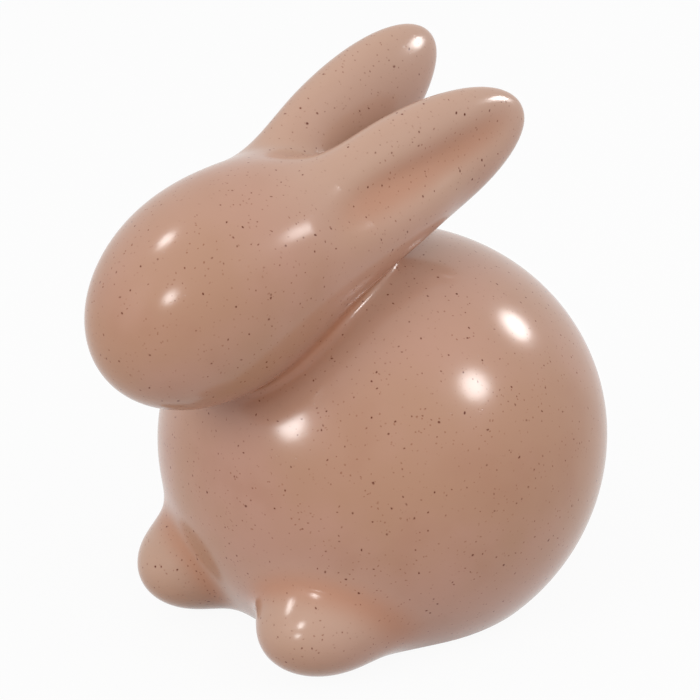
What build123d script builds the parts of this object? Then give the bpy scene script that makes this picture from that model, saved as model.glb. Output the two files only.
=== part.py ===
from build123d import *
import os
from math import cos, radians, sin, sqrt

# A sitting rabbit ornament of glazed stoneware. The rabbit faces -Y and its left side is +X.
# Hollow castings and small solid ones are luted together with slip, then glazed over as one.
# The origin is on the table, under the middle of the body.

# Body casting, round in plan and cut flat underneath
body_diameter = 81.0
body_rise = 37.8
body_wall = 4.5
base_diameter = 54.6
rim_width = 4.5

# Closing disc of bare clay under the body
foot_height = 1.2
foot_inset = 0.3
plug_height = 3.0
plug_clearance = 0.4
vent_diameter = 4.0
vent_setback = 14.0

# Head casting, a smooth egg that leans over the front of the body, nose down
head_length = 52.2
head_girth = 34.9
head_wall = 4.0
nose_drop_angle = 16.5
neck_lean_angle = 40.5
neck_press = 4.0
neck_opening_diameter = 10.0

# Ears, dished leaves that sweep back from the crown of the head, the left one a little lower
ear_length = 55.5
ear_width = 22.7
ear_thickness = 11.9
ear_splay_angle = 3.5
ear_spacing = 16.3
ear_setback = 33.9
left_ear_lift_angle = 11.9
right_ear_lift_angle = 25.5
left_ear_height = 11.2
right_ear_height = 15.3
dish_depth = 2.2
dish_girth = 15.0
dish_length = 44.0

# Paws, lobes that stick out at the front of the base, toes a little apart
paw_length = 30.9
paw_girth = 20.9
paw_middle_height = 9.5
paw_spacing = 32.0
paw_reach = 11.4
paw_turn_angle = 1.0

# Tail, a bobble low on the back
tail_diameter = 20.0
tail_middle_height = 19.0
tail_reach = 6.0

# How full the ends of the egg forms are, against those of an ellipse
end_fullness_share = 1.1

os.makedirs("parts", exist_ok=True)


def egg(girth, length, place):
    """A solid egg form, turned about its own Y axis from an oval of arcs that meet smoothly."""
    pole_radius = end_fullness_share * girth**2 / length / 2
    pole_centre_y = length / 2 - pole_radius
    side_radius = (pole_centre_y**2 + girth**2 / 4 - pole_radius**2) / (girth - 2 * pole_radius)
    radius_gap = side_radius - pole_radius
    shoulder_x = pole_radius * (side_radius - girth / 2) / radius_gap
    shoulder_y = pole_centre_y + pole_radius * pole_centre_y / radius_gap
    with BuildPart() as form:
        with BuildSketch(Plane.XY):
            with BuildLine():
                TangentArc((0, length / 2), (shoulder_x, shoulder_y), tangent=(1, 0))
                ThreePointArc((shoulder_x, shoulder_y), (girth / 2, 0), (shoulder_x, -shoulder_y))
                TangentArc((0, -length / 2), (shoulder_x, -shoulder_y), tangent=(1, 0))
                Line((0, -length / 2), (0, length / 2))
            make_face()
        revolve(axis=Axis.Y)
    return form.part.moved(place)


def leaf(thickness, length, width, place):
    """A solid leaf form: an egg that is flattened to its thickness along X and set at its place."""
    with BuildPart() as form:
        add(egg(width, length, Location()))
        scale(by=(thickness / width, 1, 1))
    return form.part.moved(place)


def ellipse_reach(half_across, half_up, angle):
    """How far an ellipse reaches from its middle, in a direction at an angle from its up axis."""
    turn = radians(angle)
    return 1 / sqrt((sin(turn) / half_across) ** 2 + (cos(turn) / half_up) ** 2)


def body_reach(x, z):
    """How far the body's skin is from its middle, along Y, at a place across and up."""
    level_share = (z - body_middle_height) / body_rise
    return sqrt((body_diameter / 2) ** 2 * (1 - level_share**2) - x**2)


# The body's widest level, from the circle that it would have on the table
body_middle_height = body_rise * sqrt(1 - (base_diameter / body_diameter) ** 2)
mouth_radius = base_diameter / 2 - rim_width

# Forms that the pieces share, so that each seat is cut by the piece that it sits on
body_place = Location((0, 0, body_middle_height), (90, 0, 0))
body_form = egg(body_diameter, 2 * body_rise, body_place)
body_hollow = egg(body_diameter - 2 * body_wall, 2 * (body_rise - body_wall), body_place)

neck_reach = ellipse_reach(body_diameter / 2, body_rise, neck_lean_angle)
head_reach = ellipse_reach(head_length / 2, head_girth / 2, neck_lean_angle - nose_drop_angle)
head_distance = neck_reach + head_reach - neck_press
head_middle_y = -head_distance * sin(radians(neck_lean_angle))
head_middle_z = body_middle_height + head_distance * cos(radians(neck_lean_angle))
head_place = Location((0, head_middle_y, head_middle_z), (nose_drop_angle, 0, 0))
head_form = egg(head_girth, head_length, head_place)
head_hollow = egg(head_girth - 2 * head_wall, head_length - 2 * head_wall, head_place)

# The neck runs from the body's middle to the head's middle
neck_plane = Plane(
    origin=(0, 0, body_middle_height),
    x_dir=(1, 0, 0),
    z_dir=(0, -sin(radians(neck_lean_angle)), cos(radians(neck_lean_angle))),
)

# Body shell: hollow, with a round mouth underneath and a neck opening into the head
with BuildPart() as body_shell:
    add(body_form)
    add(body_hollow, mode=Mode.SUBTRACT)
    split(bisect_by=Plane.XY.offset(foot_height), keep=Keep.TOP)
    with BuildSketch(Plane.XY.offset(foot_height)):
        Circle(mouth_radius)
    extrude(amount=plug_height, mode=Mode.SUBTRACT)
    with BuildSketch(neck_plane):
        Circle(neck_opening_diameter / 2)
    extrude(amount=head_distance, mode=Mode.SUBTRACT)
body_shell.part.label = "body_shell"
export_step(body_shell.part, "parts/body_shell.step")

# Base disc: a thin foot under the body's rim, and a plug that centres it in the mouth
foot_radius = base_diameter / 2 - foot_inset
plug_radius = mouth_radius - plug_clearance
with BuildPart() as base_disc:
    with BuildSketch(Plane.XY):
        Circle(foot_radius)
    extrude(amount=foot_height)
    with BuildSketch(Plane.XY.offset(foot_height)):
        Circle(plug_radius)
    extrude(amount=plug_height)
    with Locations((0, vent_setback, foot_height + plug_height)):
        Hole(vent_diameter / 2)
base_disc.part.label = "base_disc"
export_step(base_disc.part, "parts/base_disc.step")

# Head shell: hollow, saddled on the body, open at the neck
with BuildPart() as head_shell:
    add(head_form)
    add(body_form, mode=Mode.SUBTRACT)
    add(head_hollow, mode=Mode.SUBTRACT)
    with BuildSketch(neck_plane):
        Circle(neck_opening_diameter / 2)
    extrude(amount=head_distance, mode=Mode.SUBTRACT)
head_shell.part.label = "head_shell"
export_step(head_shell.part, "parts/head_shell.step")

# Ears: each leaf is seated on the head's skin, and its outer face is dished by a long scoop
ears = (
    ("left_ear", 1, left_ear_height, left_ear_lift_angle),
    ("right_ear", -1, right_ear_height, right_ear_lift_angle),
)
dish_offset = (ear_thickness + dish_girth) / 2 - dish_depth
for node, side, ear_height, ear_lift_angle in ears:
    ear_place = Location(
        (side * ear_spacing / 2, head_middle_y + ear_setback, head_middle_z + ear_height),
        (ear_lift_angle, 0, -side * ear_splay_angle),
    )
    dish_place = ear_place * Location((side * dish_offset, 0, 0))
    with BuildPart() as ear:
        add(leaf(ear_thickness, ear_length, ear_width, ear_place))
        add(head_form, mode=Mode.SUBTRACT)
        add(egg(dish_girth, dish_length, dish_place), mode=Mode.SUBTRACT)
    ear.part.label = node
    export_step(ear.part, f"parts/{node}.step")

# Paws: lobes seated on the front of the body and cut flat where they rest on the table
paw_middle_y = paw_length / 2 - body_reach(paw_spacing / 2, paw_middle_height) - paw_reach
for node, side in (("left_paw", 1), ("right_paw", -1)):
    paw_place = Location(
        (side * paw_spacing / 2, paw_middle_y, paw_middle_height), (0, 0, side * paw_turn_angle)
    )
    with BuildPart() as paw:
        add(egg(paw_girth, paw_length, paw_place))
        add(body_form, mode=Mode.SUBTRACT)
        split(bisect_by=Plane.XY, keep=Keep.TOP)
    paw.part.label = node
    export_step(paw.part, f"parts/{node}.step")

# Tail: a bobble seated on the back of the body
tail_middle_y = body_reach(0, tail_middle_height) + tail_reach - tail_diameter / 2
with BuildPart() as tail:
    with Locations((0, tail_middle_y, tail_middle_height)):
        Sphere(tail_diameter / 2)
    add(body_form, mode=Mode.SUBTRACT)
tail.part.label = "tail"
export_step(tail.part, "parts/tail.step")
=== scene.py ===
from math import cos, radians, sin

import bmesh
import bpy
import numpy as np
from mathutils import Matrix, Vector


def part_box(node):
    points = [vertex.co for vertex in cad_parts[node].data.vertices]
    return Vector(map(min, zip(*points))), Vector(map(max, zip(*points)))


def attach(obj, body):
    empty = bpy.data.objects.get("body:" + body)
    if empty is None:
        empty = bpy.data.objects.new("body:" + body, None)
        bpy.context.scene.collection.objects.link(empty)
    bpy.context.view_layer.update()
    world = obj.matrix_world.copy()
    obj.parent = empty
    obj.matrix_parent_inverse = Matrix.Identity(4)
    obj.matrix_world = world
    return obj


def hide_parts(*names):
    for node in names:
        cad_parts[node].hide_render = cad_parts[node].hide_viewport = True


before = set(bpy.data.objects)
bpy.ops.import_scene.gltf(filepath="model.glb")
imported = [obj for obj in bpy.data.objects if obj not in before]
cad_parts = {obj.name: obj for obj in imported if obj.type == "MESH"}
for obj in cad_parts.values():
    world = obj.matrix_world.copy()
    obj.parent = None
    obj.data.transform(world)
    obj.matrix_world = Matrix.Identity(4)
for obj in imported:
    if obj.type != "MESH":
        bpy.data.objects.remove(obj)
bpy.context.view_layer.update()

# The clay forms are worked in millimetres and set out in metres, the rabbit facing -Y.
MM = 0.001

# Round body: half sizes across, to the front and back, and up and down from its widest level
BODY_MIDDLE = (0, 0, 27.9)
BODY_HALF_WIDTH = 40.1
BODY_TO_FRONT = 40.6
BODY_TO_BACK = 41.0
BODY_UP = 37.8
BODY_DOWN = 39.6

# Glazed skin's lower edge, just off the table, and the seat and mouth under it that take the base disc
GLAZE_END = 0.4
FOOT_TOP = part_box("body_shell")[0][2] / MM
FOOT_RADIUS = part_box("base_disc")[1][0] / MM
SEAT_CLEARANCE = 0.1
RIM_WIDTH = 4.3
MOUTH_DEPTH = 3.2

# Egg-shaped head, nose down, half sizes along it to the nose and to the nape
HEAD_MIDDLE = (0, -35.9, 67.9)
HEAD_NOSE_DROP = 16.5
HEAD_TO_NOSE = 24.6
HEAD_TO_NAPE = 27.5
HEAD_HALF_WIDTH = 16.8
HEAD_HALF_HEIGHT = 18.1

# Ears laid back from the crown, the left one lower and flatter
EAR_SPREAD = 8.1
EAR_MIDDLE_Y = -2.2
LEFT_EAR_HEIGHT = 78.3
RIGHT_EAR_HEIGHT = 81.9
LEFT_EAR_LIFT = 11.9
RIGHT_EAR_LIFT = 25.5
LEFT_EAR_ROLL = -0.5
RIGHT_EAR_ROLL = 4.7
EAR_SPLAY = 3.5
EAR_TO_TIP = 29.6
EAR_TO_ROOT = 25.9
EAR_UP = 12.1
EAR_DOWN = 10.6
EAR_HALF_THICK = 5.9

# Swell that carries each cheek on into the ear's outer face
CHEEK_OUT = 2.5
CHEEK_BACK = -15.5
CHEEK_RISE = -2.5
CHEEK_HALF_LENGTH = 22.0
CHEEK_HALF_THICK = 6.6
CHEEK_HALF_HEIGHT = 8.0
CHEEK_EASE = 8.0

# Shallow valley along each ear's outer face, below its upper ridge
VALLEY_DEPTH = 1.5
VALLEY_MIDDLE = 2.0
VALLEY_HALF_LENGTH = 27.0
VALLEY_HALF_WIDTH = 3.2
VALLEY_RISE = 3.2
VALLEY_FALL_SHARE = 0.05
VALLEY_EDGE = 2.0

# Paws at the front of the base, toes a little apart
PAW_SPREAD = 16.0
PAW_MIDDLE_Y = -27.5
PAW_MIDDLE_Z = 9.5
PAW_TO_TOE = 15.4
PAW_TO_HEEL = 20.0
PAW_HALF_WIDTH = 11.0
PAW_UP = 9.9
PAW_DOWN = 9.9
PAW_TURN = 1.0

# Bobble tail on the back
TAIL_MIDDLE = (0, 35.4, 19.0)
TAIL_HALF = 9.9

# How far the slip and the glaze round off each joint
HEAD_JOINT_EASE = 5.6
NAPE_EASE = 5.0
NAPE_START_Y = -12.0
NAPE_END_Y = 4.0
EAR_JOINT_EASE = 11.9
EAR_CROTCH_EASE = 3.0
PAW_JOINT_EASE = 7.3
TAIL_JOINT_EASE = 5.0
RIM_EASE = 0.6
TABLE_EASE = 0.8

# How far the thin glaze of the ears and paws, and the pooled glaze and painted shade in the creases, run
# on over the next forms
THIN_GLAZE_REACH = 9.0
POOLED_AND_SHADE_REACH = 5.0

# Mesh spacing, and the steps that settle the mesh on the figure's skin
SKIN_SPACING = 0.65
LUMP_SWELL = 0.5
LUMP_SUBDIVISIONS = 5
SLOPE_STEP = 0.1
LEAST_SLOPE = 0.1
LONGEST_PULL = 1.0
SETTLE_ROUNDS = 6
SETTLE_PULLS = 3
SEAM_MARGIN = 6.0
SEAM_BAND = 2.0
EAR_SEAM_SHIFT = 1.5
SEAM_SHARE = 0.15
CUT_MARGIN = 0.02
CUT_REACH = 1e-4
TINY = 1e-9


def smooth_min(a, b, ease):
    """The lower of two heights, rounded off where they are within ease of each other."""
    overlap = np.maximum(ease - np.abs(a - b), 0) / ease
    return np.minimum(a, b) - overlap**3 * ease / 6


def smooth_max(a, b, ease):
    """The higher of two heights, rounded off where they are within ease of each other."""
    return -smooth_min(-a, -b, ease)


class Egg:
    """A clay egg: its middle, its turned axes, and its half sizes along each axis, ahead and behind."""

    def __init__(self, name, middle, turn, ahead, behind=None):
        self.name = name
        self.middle = np.array(middle, float)
        self.turn = turn
        self.axes = np.array(turn.to_3x3()).T
        self.ahead = np.array(ahead, float)
        self.behind = np.array(behind if behind else ahead, float)

    def local(self, points):
        """The points as they lie along the egg's own axes."""
        return (points - self.middle) @ self.axes.T

    def distance(self, points):
        """About how far each point is outside the egg, in millimetres, and below 0 inside it."""
        local = self.local(points)
        half = np.where(local > 0, self.ahead, self.behind)
        level = np.linalg.norm(local / half, axis=1)
        slope = np.linalg.norm(local / half**2, axis=1)
        return level * (level - 1) / np.maximum(slope, TINY)

    def lump(self, bm):
        """Adds the egg as a plain ball of clay to a bmesh in metres."""
        half = ((self.ahead + self.behind) / 2 + LUMP_SWELL) * MM
        middle = Vector(self.middle) + self.turn.to_3x3() @ Vector((self.ahead - self.behind) / 2)
        place = Matrix.Translation(middle * MM) @ self.turn @ Matrix.Diagonal((*half, 1))
        bmesh.ops.create_icosphere(bm, subdivisions=LUMP_SUBDIVISIONS, radius=1, matrix=place)


def turn_about(degrees, axis):
    """A turn about one of the figure's axes."""
    return Matrix.Rotation(radians(degrees), 4, axis)


body = Egg(
    "body",
    BODY_MIDDLE,
    Matrix(),
    (BODY_HALF_WIDTH, BODY_TO_BACK, BODY_UP),
    (BODY_HALF_WIDTH, BODY_TO_FRONT, BODY_DOWN),
)
head = Egg(
    "head",
    HEAD_MIDDLE,
    turn_about(HEAD_NOSE_DROP, "X"),
    (HEAD_HALF_WIDTH, HEAD_TO_NAPE, HEAD_HALF_HEIGHT),
    (HEAD_HALF_WIDTH, HEAD_TO_NOSE, HEAD_HALF_HEIGHT),
)
tail = Egg("tail", TAIL_MIDDLE, Matrix(), (TAIL_HALF, TAIL_HALF, TAIL_HALF))
ears = []
cheeks = []
paws = []
for side, side_name, ear_height, ear_lift, ear_roll in (
    (1, "left", LEFT_EAR_HEIGHT, LEFT_EAR_LIFT, LEFT_EAR_ROLL),
    (-1, "right", RIGHT_EAR_HEIGHT, RIGHT_EAR_LIFT, RIGHT_EAR_ROLL),
):
    turn = turn_about(-side * EAR_SPLAY, "Z") @ turn_about(ear_lift, "X")
    turn = turn @ turn_about(side * ear_roll, "Y")
    middle = Vector((side * EAR_SPREAD, EAR_MIDDLE_Y, ear_height))
    ears.append(
        Egg(
            side_name + "_ear",
            middle,
            turn,
            (EAR_HALF_THICK, EAR_TO_TIP, EAR_UP),
            (EAR_HALF_THICK, EAR_TO_ROOT, EAR_DOWN),
        )
    )
    cheeks.append(
        Egg(
            side_name + "_cheek",
            middle + turn @ Vector((side * CHEEK_OUT, CHEEK_BACK, CHEEK_RISE)),
            turn,
            (CHEEK_HALF_THICK, CHEEK_HALF_LENGTH, CHEEK_HALF_HEIGHT),
        )
    )
    paws.append(
        Egg(
            side_name + "_paw",
            (side * PAW_SPREAD, PAW_MIDDLE_Y, PAW_MIDDLE_Z),
            turn_about(side * PAW_TURN, "Z"),
            (PAW_HALF_WIDTH, PAW_TO_HEEL, PAW_UP),
            (PAW_HALF_WIDTH, PAW_TO_TOE, PAW_DOWN),
        )
    )
eggs = [body, head, *ears, *paws, tail]


def valley(ear, points):
    """How deep the valley along an ear's outer face is at each point."""
    across, along, up = ear.local(points).T
    aside = (up - VALLEY_RISE + VALLEY_FALL_SHARE * along) / VALLEY_HALF_WIDTH
    run = np.clip(1 - ((along - VALLEY_MIDDLE) / VALLEY_HALF_LENGTH) ** 4, 0, 1) ** 2
    outer = np.clip(np.sign(ear.middle[0]) * across / VALLEY_EDGE, 0, 1)
    return VALLEY_DEPTH * np.exp(-(aside**2)) * run * outer


def skin(points):
    """How far each point is outside the whole figure, with its joints rounded off."""
    leaves = []
    for ear, cheek in zip(ears, cheeks):
        leaves.append(smooth_min(ear.distance(points), cheek.distance(points), CHEEK_EASE))
    upper = smooth_min(head.distance(points), smooth_min(*leaves, EAR_CROTCH_EASE), EAR_JOINT_EASE)
    for ear in ears:
        upper = upper + valley(ear, points)
    lower = smooth_max(body.distance(points), GLAZE_END - points[:, 2], RIM_EASE)
    for paw in paws:
        lower = smooth_min(lower, paw.distance(points), PAW_JOINT_EASE)
    lower = smooth_min(lower, tail.distance(points), TAIL_JOINT_EASE)
    behind = np.clip((points[:, 1] - NAPE_START_Y) / (NAPE_END_Y - NAPE_START_Y), 0, 1)
    ease = HEAD_JOINT_EASE + (NAPE_EASE - HEAD_JOINT_EASE) * behind**2 * (3 - 2 * behind)
    whole = smooth_min(lower, upper, ease)
    return smooth_max(whole, -points[:, 2], TABLE_EASE)


def skin_slope(points):
    """The direction straight out of the skin at each point, not yet of length 1."""
    slope = np.empty_like(points)
    for axis in range(3):
        step = np.zeros(3)
        step[axis] = SLOPE_STEP
        slope[:, axis] = (skin(points + step) - skin(points - step)) / (2 * SLOPE_STEP)
    return slope


def pooled_glaze_and_shade(points):
    """How much glaze has pooled and how much shade is painted there, from 0 on open clay to 1 in the
    creases and the ears' valleys.
    """
    apart = np.abs(body.distance(points) - nearest(eggs[1:], points))
    creases = np.clip(1 - apart / POOLED_AND_SHADE_REACH, 0, 1)
    return np.maximum(creases, sum(valley(ear, points) for ear in ears) / VALLEY_DEPTH)


def thin_glaze(points):
    """How much glaze has run off the small round forms, from 0 on the body to 1 on the ears and paws."""
    return np.clip(1 - nearest([*ears, *paws], points) / THIN_GLAZE_REACH, 0, 1)


def whole_skin():
    """One closed mesh of the whole figure, in millimetres, settled on the skin."""
    bm = bmesh.new()
    for egg in eggs:
        egg.lump(bm)
    cut_below(bm, 0, CUT_REACH * MM)
    close_seams(bm)
    mesh = bpy.data.meshes.new("clay_lumps")
    bm.to_mesh(mesh)
    bm.free()
    lumps = bpy.data.objects.new("clay_lumps", mesh)
    bpy.context.collection.objects.link(lumps)
    joining = lumps.modifiers.new("joining", "REMESH")
    joining.mode = "VOXEL"
    joining.voxel_size = SKIN_SPACING * MM
    joined = bpy.data.meshes.new_from_object(lumps.evaluated_get(bpy.context.evaluated_depsgraph_get()))
    bpy.data.objects.remove(lumps)
    bpy.data.meshes.remove(mesh)

    points = read_vectors(joined.vertices, "co") / MM
    ends = np.empty(2 * len(joined.edges), int)
    joined.edges.foreach_get("vertices", ends)
    for settle_round in range(SETTLE_ROUNDS):
        points = pull_to_skin(even_out(points, ends.reshape(-1, 2)))
    for pull in range(SETTLE_PULLS):
        points = pull_to_skin(points)
    joined.vertices.foreach_set("co", points.ravel())
    bm = bmesh.new()
    bm.from_mesh(joined)
    bpy.data.meshes.remove(joined)
    parts = sorted(islands(bm), key=len)
    bmesh.ops.delete(bm, geom=[vert for part in parts[:-1] for vert in part], context="VERTS")
    return bm


def read_vectors(items, name):
    """A vector of each item of a mesh, as rows."""
    values = np.empty(3 * len(items))
    items.foreach_get(name, values)
    return values.reshape(-1, 3)


def even_out(points, edges):
    """Each point moved halfway to the middle of its neighbours."""
    middles = np.zeros_like(points)
    for axis in range(3):
        for start, end in ((0, 1), (1, 0)):
            middles[:, axis] += np.bincount(edges[:, start], points[edges[:, end], axis], len(points))
    return (points + middles / np.bincount(edges.ravel(), minlength=len(points))[:, None]) / 2


def pull_to_skin(points):
    """Each point moved straight in or out, on to the skin."""
    slope = skin_slope(points)
    pull = skin(points) / np.maximum((slope**2).sum(1), LEAST_SLOPE)
    return points - slope * np.clip(pull, -LONGEST_PULL, LONGEST_PULL)[:, None]


def nearest(group, points):
    """About how far each point is from the nearest egg of a group."""
    return np.min([egg.distance(points) for egg in group], axis=0)


def cut_seam(bm, first, second, shift=0):
    """Parts the skin along the joint of two groups of eggs, moved by shift towards the first one."""
    points = np.array([v.co for v in bm.verts])
    first_distance = nearest(first, points)
    second_distance = nearest(second, points)
    lead = first_distance - second_distance + shift
    own = np.minimum(first_distance, second_distance) < nearest(eggs, points) + SEAM_BAND
    near = own & (first_distance < SEAM_MARGIN)
    bm.verts.index_update()
    seam = []
    for edge in bm.edges[:]:
        start, end = (vert.index for vert in edge.verts)
        if near[start] and near[end] and (lead[start] < 0) != (lead[end] < 0):
            share = np.clip(lead[start] / (lead[start] - lead[end]), SEAM_SHARE, 1 - SEAM_SHARE)
            seam.append(bmesh.utils.edge_split(edge, edge.verts[0], share)[1])
    made = bmesh.ops.connect_verts(bm, verts=seam)["edges"]
    bmesh.ops.split_edges(bm, edges=made)


def islands(bm):
    """The vertices of each closed-off part of the skin."""
    left = set(bm.verts)
    parts = []
    while left:
        part = [left.pop()]
        for vert in part:
            for edge in vert.link_edges:
                other = edge.other_vert(vert)
                if other in left:
                    left.remove(other)
                    part.append(other)
        parts.append(part)
    return parts


def cut_below(bm, level, reach):
    """Cuts away what is below a level and leaves the cut open."""
    bmesh.ops.bisect_plane(
        bm,
        geom=bm.verts[:] + bm.edges[:] + bm.faces[:],
        dist=reach,
        plane_co=Vector((0, 0, level)),
        plane_no=Vector((0, 0, -1)),
        clear_outer=True,
    )


def close_seams(bm):
    """Closes each cut with a flat face and returns those faces."""
    open_edges = [edge for edge in bm.edges if edge.is_boundary]
    return bmesh.ops.holes_fill(bm, edges=open_edges, sides=0)["faces"]


def hollow_mouth(bm):
    """Cuts the body level at the glaze's end and sinks the seat and the mouth for the base disc."""
    level = GLAZE_END + CUT_MARGIN
    cut_below(bm, level, CUT_REACH)
    underside = max(close_seams(bm), key=lambda face: face.calc_area())
    underside.smooth = False
    radius = max(vert.co.xy.length for vert in underside.verts)
    seat_radius = FOOT_RADIUS + SEAT_CLEARANCE
    seat_rise = FOOT_TOP + CUT_MARGIN - level
    mouth_share = 1 - RIM_WIDTH / seat_radius
    for share, rise in ((seat_radius / radius, 0), (1, seat_rise), (mouth_share, 0), (1, MOUTH_DEPTH)):
        underside = bmesh.ops.extrude_discrete_faces(bm, faces=[underside])["faces"][0]
        bmesh.ops.scale(bm, verts=underside.verts[:], vec=Vector((share, share, 1)))
        bmesh.ops.translate(bm, verts=underside.verts[:], vec=Vector((0, 0, rise)))


def glazed_piece(skin_bm, part, name, node, finish):
    """One glazed casting as an object: its part of the skin, closed where it meets its neighbours."""
    keep = {vert.index for vert in part}
    bm = skin_bm.copy()
    bm.verts.ensure_lookup_table()
    bmesh.ops.delete(bm, geom=[vert for vert in bm.verts if vert.index not in keep], context="VERTS")
    for face in bm.faces:
        face.smooth = True
    seats = close_seams(bm)
    for face in seats:
        face.smooth = False
    bmesh.ops.poke(bm, faces=seats, center_mode="MEAN")
    if node == "body_shell":
        hollow_mouth(bm)
    bmesh.ops.recalc_face_normals(bm, faces=bm.faces)
    if bm.calc_volume(signed=True) < 0:
        bmesh.ops.reverse_faces(bm, faces=bm.faces)
    mesh = bpy.data.meshes.new(name)
    points = np.array([vert.co for vert in bm.verts])
    bmesh.ops.scale(bm, vec=Vector((1, 1, 1)) * MM, verts=bm.verts)
    bm.to_mesh(mesh)
    bm.free()

    outwards = skin_slope(points)
    outwards /= np.maximum(np.linalg.norm(outwards, axis=1), TINY)[:, None]
    corner_vertices = np.empty(len(mesh.loops), int)
    mesh.loops.foreach_get("vertex_index", corner_vertices)
    corner_counts = np.empty(len(mesh.polygons), int)
    mesh.polygons.foreach_get("loop_total", corner_counts)
    smooth = np.empty(len(mesh.polygons), bool)
    mesh.polygons.foreach_get("use_smooth", smooth)
    flat_normals = np.repeat(read_vectors(mesh.polygons, "normal"), corner_counts, axis=0)
    on_skin = np.repeat(smooth, corner_counts)[:, None]
    mesh.normals_split_custom_set(np.where(on_skin, outwards[corner_vertices], flat_normals).tolist())
    for kind, amount in (("pooled_glaze_and_shade", pooled_glaze_and_shade(points)), ("thin_glaze", thin_glaze(points))):
        layer = mesh.attributes.new(kind, "FLOAT", "POINT")
        layer.data.foreach_set("value", amount.astype(np.float32))
    mesh.materials.append(finish)
    piece = bpy.data.objects.new(name, mesh)
    bpy.context.collection.objects.link(piece)
    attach(piece, "root")
    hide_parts(node)
    return piece


class Value:
    """A number on a material's sheet of nodes, which Python's own signs work on."""

    def __init__(self, paint, socket):
        self.paint = paint
        self.socket = socket

    def math(self, operation, first, second):
        """A new number that a sign makes of two others."""
        return self.paint.node("ShaderNodeMath", {"operation": operation}, {0: first, 1: second})

    def __add__(self, other):
        return self.math("ADD", self, other)

    def __radd__(self, other):
        return self.math("ADD", other, self)

    def __sub__(self, other):
        return self.math("SUBTRACT", self, other)

    def __rsub__(self, other):
        return self.math("SUBTRACT", other, self)

    def __mul__(self, other):
        return self.math("MULTIPLY", self, other)

    def __rmul__(self, other):
        return self.math("MULTIPLY", other, self)


class Paint:
    """The nodes of a material or of the world round the figure."""

    def __init__(self, holder):
        self.holder = holder
        holder.use_nodes = True
        self.tree = holder.node_tree
        self.tree.nodes.clear()

    def node(self, kind, settings=None, sockets=None, output=0):
        """Adds a node, sets it up, feeds its sockets, and returns one of its outputs."""
        made = self.tree.nodes.new(kind)
        for setting, value in (settings or {}).items():
            setattr(made, setting, value)
        for socket, value in (sockets or {}).items():
            if isinstance(value, Value):
                self.tree.links.new(value.socket, made.inputs[socket])
            else:
                made.inputs[socket].default_value = value
        if not made.outputs:
            return made
        return Value(self, made.outputs[output])

    def mix(self, share, first, second):
        """A colour between two others."""
        settings = {"data_type": "RGBA", "clamp_factor": True}
        return self.node("ShaderNodeMix", settings, {0: share, 6: first, 7: second}, output=2)

    def fade(self, value, low, high, at_low=0.0, at_high=1.0):
        """A smooth step from at_low to at_high as the value goes from low to high."""
        settings = {"interpolation_type": "SMOOTHSTEP", "clamp": True}
        sockets = {0: value, 1: low, 2: high, 3: at_low, 4: at_high}
        return self.node("ShaderNodeMapRange", settings, sockets)

    def finish(self, shader, output="ShaderNodeOutputMaterial"):
        """Puts the shader on the surface and returns what carries the nodes."""
        self.node(output, None, {"Surface": shader})
        return self.holder

    def backdrop_seen(self):
        """1 where the background is seen, straight or in a reflection, and 0 where it lights things."""
        straight = self.node("ShaderNodeLightPath", output="Is Camera Ray")
        mirrored = self.node("ShaderNodeLightPath", output="Is Glossy Ray")
        through = self.node("ShaderNodeLightPath", output="Is Transmission Ray")
        sockets = {0: straight, 1: mirrored + through}
        return self.node("ShaderNodeMath", {"operation": "MAXIMUM"}, sockets)

    def place(self):
        """Where on the piece a spot is, in metres."""
        return self.node("ShaderNodeTexCoord", output="Object")

    def noise(self, scale, detail, output=0):
        """Cloudy noise on the piece, as a number, or with output 1 as a colour."""
        sockets = {"Vector": self.place(), "Scale": scale, "Detail": detail}
        return self.node("ShaderNodeTexNoise", None, sockets, output)

    def attribute(self, name):
        """A number that the mesh carries at each of its points."""
        return self.node("ShaderNodeAttribute", {"attribute_name": name}, output="Fac")


def written(red, green, blue):
    """A colour as it is seen on a screen, 0 to 255, as the light that it gives."""
    shades = [shade / 255 for shade in (red, green, blue)]
    light = [s / 12.92 if s <= 0.04045 else ((s + 0.055) / 1.055) ** 2.4 for s in shades]
    return (*light, 1.0)


# Glaze colours as they are seen, and how far each one covers the one before it
TAN_GLAZE = (172, 129, 104)
PINK_GLAZE = (179, 135, 116)
STREAK_GLAZE = (164, 116, 92)
STREAK_COVER = 0.3
# Paler glaze on upward faces: painted light from above, with glaze run thin off the tops
TOP_THIN_AND_LIT_GLAZE = (186, 150, 130)
TOP_THIN_AND_LIT_COVER = 0.4
# Paler glaze on the ears and paws, most on their upper faces: glaze run thin there, with painted light
# from above
THIN_AND_TOP_LIT_GLAZE = (190, 158, 139)
THIN_AND_TOP_LIT_COVER = 0.6
# Browner glaze in the creases and the ears' valleys: pooled glaze, with painted shade there
POOLED_GLAZE_AND_SHADE = (172, 110, 76)
POOLED_AND_SHADE_COVER = 0.5

# Clouds and streaks in the glaze: how fine they are, and between which levels of noise they come in
CLOUD_SCALE = 38
CLOUD_DETAIL = 3
CLOUD_LEVELS = (0.36, 0.64)
STREAK_SCALE = 95
STREAK_DETAIL = 2
STREAK_LEVELS = (0.5, 0.75)
# Upward slopes over which the paler glaze and painted light from above come in, on the whole figure and
# on the ears and paws
TOP_THIN_AND_LIT_SLOPES = (0.1, 1.0)
THIN_AND_TOP_LIT_SLOPES = (-0.7, 0.5)

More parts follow.
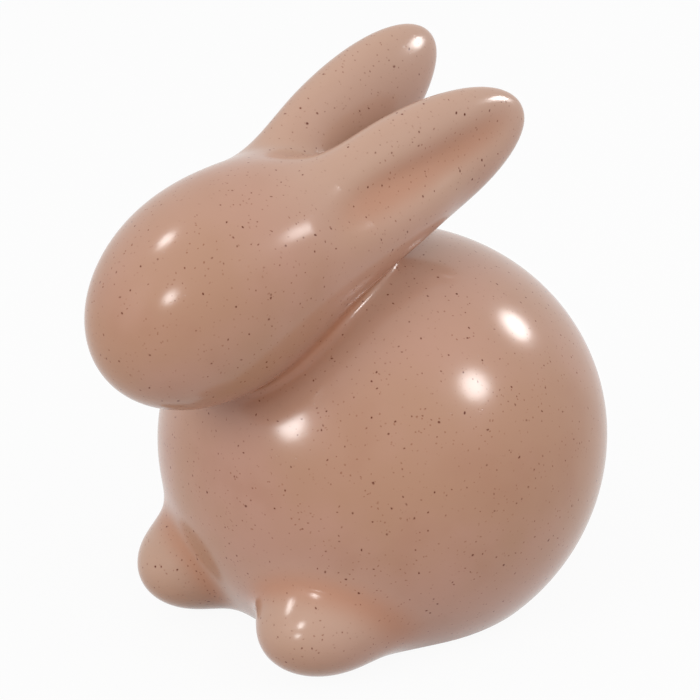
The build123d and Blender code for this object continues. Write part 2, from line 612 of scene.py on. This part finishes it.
# Reddish freckles under the surface, in crowds, and dark iron specks with a rusty halo
RAGGED_SCALE = 1100
RAGGED_SHIFT = 0.0006
CROWD_SCALE = 120
CROWD_LEVELS = (0.35, 0.68)
FRECKLE = (128, 70, 42)
FRECKLE_SCALE = 900
FRECKLE_EDGE = (0.05, 0.2)
FRECKLE_LEAST_COVER = 0.2
FRECKLE_CROWD_COVER = 0.45
SPECK_SCALE = 700
SPECK_LEAST_SIZE = 0.04
SPECK_MORE_SIZE = 0.095
SPECK_LEAST_COVER = 0.5
SPECK_MORE_COVER = 0.55
SPECK_HALO = (140, 74, 42)
HALO_EDGE = (-0.02, 0.12)
HALO_COVER = 0.3
SPECK_CORE = (86, 26, 2)
CORE_EDGE = (-0.05, 0.04)

# Glaze surface: ripples and tiny pits, and its gloss
RIPPLE_SCALE = 260
RIPPLE_DETAIL = 2
RIPPLE_HEIGHT = 0.12
PIT_SCALE = 640
PIT_EDGE = (0.03, 0.12)
GLAZE_BUMP = 0.12
GLAZE_BUMP_DEPTH = 0.0002
GLAZE_ROUGHNESS = 0.19
GLAZE_REFRACTION = 1.42

# Bare clay of the base disc
DARK_CLAY = (112, 80, 62)
PALE_CLAY = (140, 104, 84)
GRIT_SCALE = 700
GRIT_DETAIL = 4
GRIT_LEVELS = (0.3, 0.7)
CLAY_BUMP = 0.3
CLAY_BUMP_DEPTH = 0.0003
CLAY_ROUGHNESS = 0.85


def speckled_glaze():
    """Glossy pinkish tan glaze with iron specks, paler on upward faces with painted light from above, and
    browner where it has pooled and in painted shade.
    """
    paint = Paint(bpy.data.materials.new("speckled_glaze"))
    place = paint.place()

    # Broad clouds of pinker and browner glaze, with darker streaks
    cloud = paint.fade(paint.noise(CLOUD_SCALE, CLOUD_DETAIL), *CLOUD_LEVELS)
    streak = paint.fade(paint.noise(STREAK_SCALE, STREAK_DETAIL), *STREAK_LEVELS)
    colour = paint.mix(cloud, written(*TAN_GLAZE), written(*PINK_GLAZE))
    colour = paint.mix(streak * STREAK_COVER, colour, written(*STREAK_GLAZE))

    # Paler on upward faces, painted light from above with glaze run thin off the tops; browner where it
    # pooled, with painted shade
    outwards = paint.node("ShaderNodeTexCoord", output="Normal")
    upwards = paint.node("ShaderNodeSeparateXYZ", None, {0: outwards}, output="Z")
    colour = paint.mix(paint.fade(upwards, *TOP_THIN_AND_LIT_SLOPES) * TOP_THIN_AND_LIT_COVER, colour, written(*TOP_THIN_AND_LIT_GLAZE))
    # Paler still on the ears and paws, most on their upper faces: thin glaze, with painted light from
    # above
    thin_and_top_lit = paint.fade(paint.attribute("thin_glaze"), 0, 1) * paint.fade(upwards, *THIN_AND_TOP_LIT_SLOPES)
    colour = paint.mix(thin_and_top_lit * THIN_AND_TOP_LIT_COVER, colour, written(*THIN_AND_TOP_LIT_GLAZE))
    # Browner in the creases and the ears' valleys: pooled glaze, with painted shade
    pooled_and_shade = paint.fade(paint.attribute("pooled_glaze_and_shade"), 0, 1)
    colour = paint.mix(pooled_and_shade * POOLED_AND_SHADE_COVER, colour, written(*POOLED_GLAZE_AND_SHADE))

    # Faint reddish freckles under the surface
    stir = paint.noise(RAGGED_SCALE, 1, output=1)
    shift = paint.node("ShaderNodeVectorMath", {"operation": "SCALE"}, {0: stir, "Scale": RAGGED_SHIFT})
    ragged = paint.node("ShaderNodeVectorMath", {"operation": "ADD"}, {0: place, 1: shift})
    crowd = paint.fade(paint.noise(CROWD_SCALE, 1), *CROWD_LEVELS)
    freckles = paint.node("ShaderNodeTexVoronoi", None, {"Vector": ragged, "Scale": FRECKLE_SCALE})
    faint = paint.fade(freckles, *FRECKLE_EDGE, 1.0, 0.0)
    cover = FRECKLE_LEAST_COVER + FRECKLE_CROWD_COVER * crowd
    colour = paint.mix(faint * cover, colour, written(*FRECKLE))

    # Dark iron specks, each with its own size and strength
    cell = {"Vector": ragged, "Scale": SPECK_SCALE}
    speck = paint.node("ShaderNodeTexVoronoi", None, cell)
    chance = paint.node("ShaderNodeTexVoronoi", None, cell, output="Color")
    first = paint.node("ShaderNodeSeparateColor", None, {0: chance}, output="Red")
    second = paint.node("ShaderNodeSeparateColor", None, {0: chance}, output="Green")
    from_edge = speck - (SPECK_LEAST_SIZE + SPECK_MORE_SIZE * first)
    strength = SPECK_LEAST_COVER + SPECK_MORE_COVER * second
    halo = paint.fade(from_edge, *HALO_EDGE, HALO_COVER, 0.0)
    colour = paint.mix(halo * strength, colour, written(*SPECK_HALO))
    core = paint.fade(from_edge, *CORE_EDGE, 1.0, 0.0)
    colour = paint.mix(core * strength, colour, written(*SPECK_CORE))

    # Faint ripple of the glaze and tiny pits that glint in the highlights
    ripple = paint.noise(RIPPLE_SCALE, RIPPLE_DETAIL)
    pits = paint.node("ShaderNodeTexVoronoi", None, {"Vector": place, "Scale": PIT_SCALE})
    height = RIPPLE_HEIGHT * ripple + paint.fade(pits, *PIT_EDGE)
    bumps = paint.node(
        "ShaderNodeBump", None, {"Strength": GLAZE_BUMP, "Distance": GLAZE_BUMP_DEPTH, "Height": height}
    )
    shader = paint.node(
        "ShaderNodeBsdfPrincipled",
        None,
        {"Base Color": colour, "Roughness": GLAZE_ROUGHNESS, "IOR": GLAZE_REFRACTION, "Normal": bumps},
    )
    return paint.finish(shader)


def bare_clay():
    """Matt brown stoneware without glaze, a little gritty."""
    paint = Paint(bpy.data.materials.new("bare_clay"))
    grit = paint.noise(GRIT_SCALE, GRIT_DETAIL)
    colour = paint.mix(paint.fade(grit, *GRIT_LEVELS), written(*DARK_CLAY), written(*PALE_CLAY))
    bumps = paint.node(
        "ShaderNodeBump", None, {"Strength": CLAY_BUMP, "Distance": CLAY_BUMP_DEPTH, "Height": grit}
    )
    shader = paint.node(
        "ShaderNodeBsdfPrincipled",
        None,
        {"Base Color": colour, "Roughness": CLAY_ROUGHNESS, "Normal": bumps},
    )
    return paint.finish(shader)


def make_rabbit():
    """The glazed castings, cut from one skin, over the bare base disc."""
    glaze = speckled_glaze()
    clay = bare_clay()
    bm = whole_skin()
    cut_seam(bm, [head, *ears], [body, *paws, tail])
    cut_seam(bm, ears[:1], [head, ears[1]], EAR_SEAM_SHIFT)
    cut_seam(bm, ears[1:], [head], EAR_SEAM_SHIFT)
    for limb in [*paws, tail]:
        cut_seam(bm, [limb], [body])
    bm.verts.index_update()
    nodes = {"body": "body_shell", "head": "head_shell"}
    parts = {egg.name: [] for egg in eggs}
    for island in islands(bm):
        points = np.array([vert.co for vert in island])
        egg = min(eggs, key=lambda one: np.abs(one.distance(points)).mean())
        parts[egg.name] += island
    for name, part in parts.items():
        glazed_piece(bm, part, "glazed_" + name, nodes.get(name, name), glaze)
    bm.free()
    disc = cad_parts["base_disc"]
    disc.data.materials.clear()
    disc.data.materials.append(clay)


# Photograph's camera: where it stands round a target in the body, and the target's place in the picture
VIEW_TARGET = (0, 0, 29.3)
VIEW_AZIMUTH = 46.32
VIEW_ELEVATION = 26.07
VIEW_DISTANCE = 381.3
VIEW_ROLL = -1.71
PICTURE_WIDTH = 700
TARGET_PIXEL = (381.6, 427.2)
FOCAL_PIXELS = 2110
SENSOR_WIDTH = 36
NEAREST_SEEN = 0.01


def direction(azimuth, elevation):
    """The way from the figure to something round it, azimuth 0 in front and 90 at its left."""
    a = radians(azimuth)
    e = radians(elevation)
    return Vector((sin(a) * cos(e), -cos(a) * cos(e), sin(e)))


def make_camera():
    """A camera that sees the figure as the photograph does."""
    back = direction(VIEW_AZIMUTH, VIEW_ELEVATION)
    level = Vector((0, 0, 1)).cross(back).normalized()
    right = Matrix.Rotation(radians(VIEW_ROLL), 3, back) @ level
    up = back.cross(right)
    across = (PICTURE_WIDTH / 2 - TARGET_PIXEL[0]) / FOCAL_PIXELS
    upwards = (TARGET_PIXEL[1] - PICTURE_WIDTH / 2) / FOCAL_PIXELS
    eye = Vector(VIEW_TARGET) + back * VIEW_DISTANCE
    back = (back - right * across - up * upwards).normalized()
    right = (right - back * right.dot(back)).normalized()
    up = back.cross(right)
    data = bpy.data.cameras.new("photo_camera")
    data.lens = FOCAL_PIXELS * SENSOR_WIDTH / PICTURE_WIDTH
    data.sensor_width = SENSOR_WIDTH
    data.clip_start = NEAREST_SEEN
    camera = bpy.data.objects.new("photo_camera", data)
    camera.matrix_world = Matrix.Translation(eye * MM) @ Matrix((right, up, back)).transposed().to_4x4()
    bpy.context.collection.objects.link(camera)
    bpy.context.scene.camera = camera


# Broad lights that shade the figure: azimuth, elevation, width across and power
LIGHT_AIM = (0, 0, 0.05)
BROAD_LIGHT_DISTANCE = 1.0
BROAD_LIGHTS = (
    ("front_light", 0, 29, 0.5, 3.2),
    ("left_light", 105, 39, 0.5, 2.1),
    ("back_light", 166, 30, 0.5, 0.9),
    ("high_light", -20, 66, 0.5, 0.25),
)

# Round softboxes that show as highlights on one group of pieces: azimuth, elevation, width and power
GROUPS = {
    "body": ["body", "tail"],
    "head": ["head"],
    "ears": ["left_ear", "right_ear"],
    "paw": ["left_paw"],
}
SOFTBOX_DISTANCE = 0.8
SOFTBOXES = (
    ("body", "chest_softbox", -4, 28, 0.20, 2.47),
    ("body", "flank_softbox", 112, 39, 0.19, 2.34),
    ("body", "back_softbox", 166, 30, 0.17, 1.69),
    ("head", "brow_softbox", -38, 66, 0.14, 1.17),
    ("head", "nose_softbox", 36, 31, 0.14, 1.17),
    ("head", "cheek_softbox", 125, 37, 0.13, 0.72),
    ("ears", "ear_softbox", 158, 18, 0.17, 1.56),
    ("paw", "paw_softbox", 24, 34, 0.14, 1.17),
    ("paw", "paw_side_softbox", -28, 46, 0.14, 1.17),
    ("paw", "toe_softbox", 24, 12, 0.12, 0.78),
)
ROOM_LIGHT = 0.75
FLOOR_WIDTH = 6.0
FLOOR_GLOW = 0.94
FLOOR_SHADE = (0.6, 0.6, 0.6, 1)
WHITE = (1, 1, 1, 1)


def make_lamp(distance, name, azimuth, elevation, width, power):
    """A round lamp that looks at the figure from a distance."""
    lamp = bpy.data.lights.new(name, "AREA")
    lamp.shape = "DISK"
    lamp.size = width
    lamp.energy = power
    light = bpy.data.objects.new(name, lamp)
    back = direction(azimuth, elevation)
    place = Matrix.Translation(Vector(LIGHT_AIM) + back * distance)
    light.matrix_world = place @ back.to_track_quat("Z", "Y").to_matrix().to_4x4()
    bpy.context.collection.objects.link(light)
    return light


def make_studio():
    """Soft lights, a white room and a pale floor that keeps the figure's shadow."""
    for lamp in BROAD_LIGHTS:
        make_lamp(BROAD_LIGHT_DISTANCE, *lamp).visible_glossy = False
    groups = {}
    for group, pieces in GROUPS.items():
        groups[group] = bpy.data.collections.new(group)
        for piece in pieces:
            groups[group].objects.link(bpy.data.objects["glazed_" + piece])
    for group, *lamp in SOFTBOXES:
        softbox = make_lamp(SOFTBOX_DISTANCE, *lamp)
        softbox.visible_diffuse = False
        softbox.light_linking.receiver_collection = groups[group]

    room = Paint(bpy.data.worlds.new("studio"))
    strength = room.fade(room.backdrop_seen(), 0, 1, ROOM_LIGHT, 1)
    glow = room.node("ShaderNodeBackground", None, {"Color": WHITE, "Strength": strength})
    bpy.context.scene.world = room.finish(glow, "ShaderNodeOutputWorld")

    paint = Paint(bpy.data.materials.new("pale_floor"))
    matt = paint.node("ShaderNodeBsdfDiffuse", None, {"Color": FLOOR_SHADE})
    light = paint.node("ShaderNodeEmission", None, {"Color": WHITE, "Strength": 1})
    share = paint.backdrop_seen() * FLOOR_GLOW
    pale = paint.node("ShaderNodeMixShader", None, {0: share, 1: matt, 2: light})
    bm = bmesh.new()
    bmesh.ops.create_grid(bm, x_segments=1, y_segments=1, size=FLOOR_WIDTH / 2)
    mesh = bpy.data.meshes.new("pale_floor")
    bm.to_mesh(mesh)
    bm.free()
    mesh.materials.append(paint.finish(pale))
    floor = bpy.data.objects.new("pale_floor", mesh)
    bpy.context.collection.objects.link(floor)


bpy.context.scene.view_settings.view_transform = "Standard"
make_rabbit()
make_camera()
make_studio()
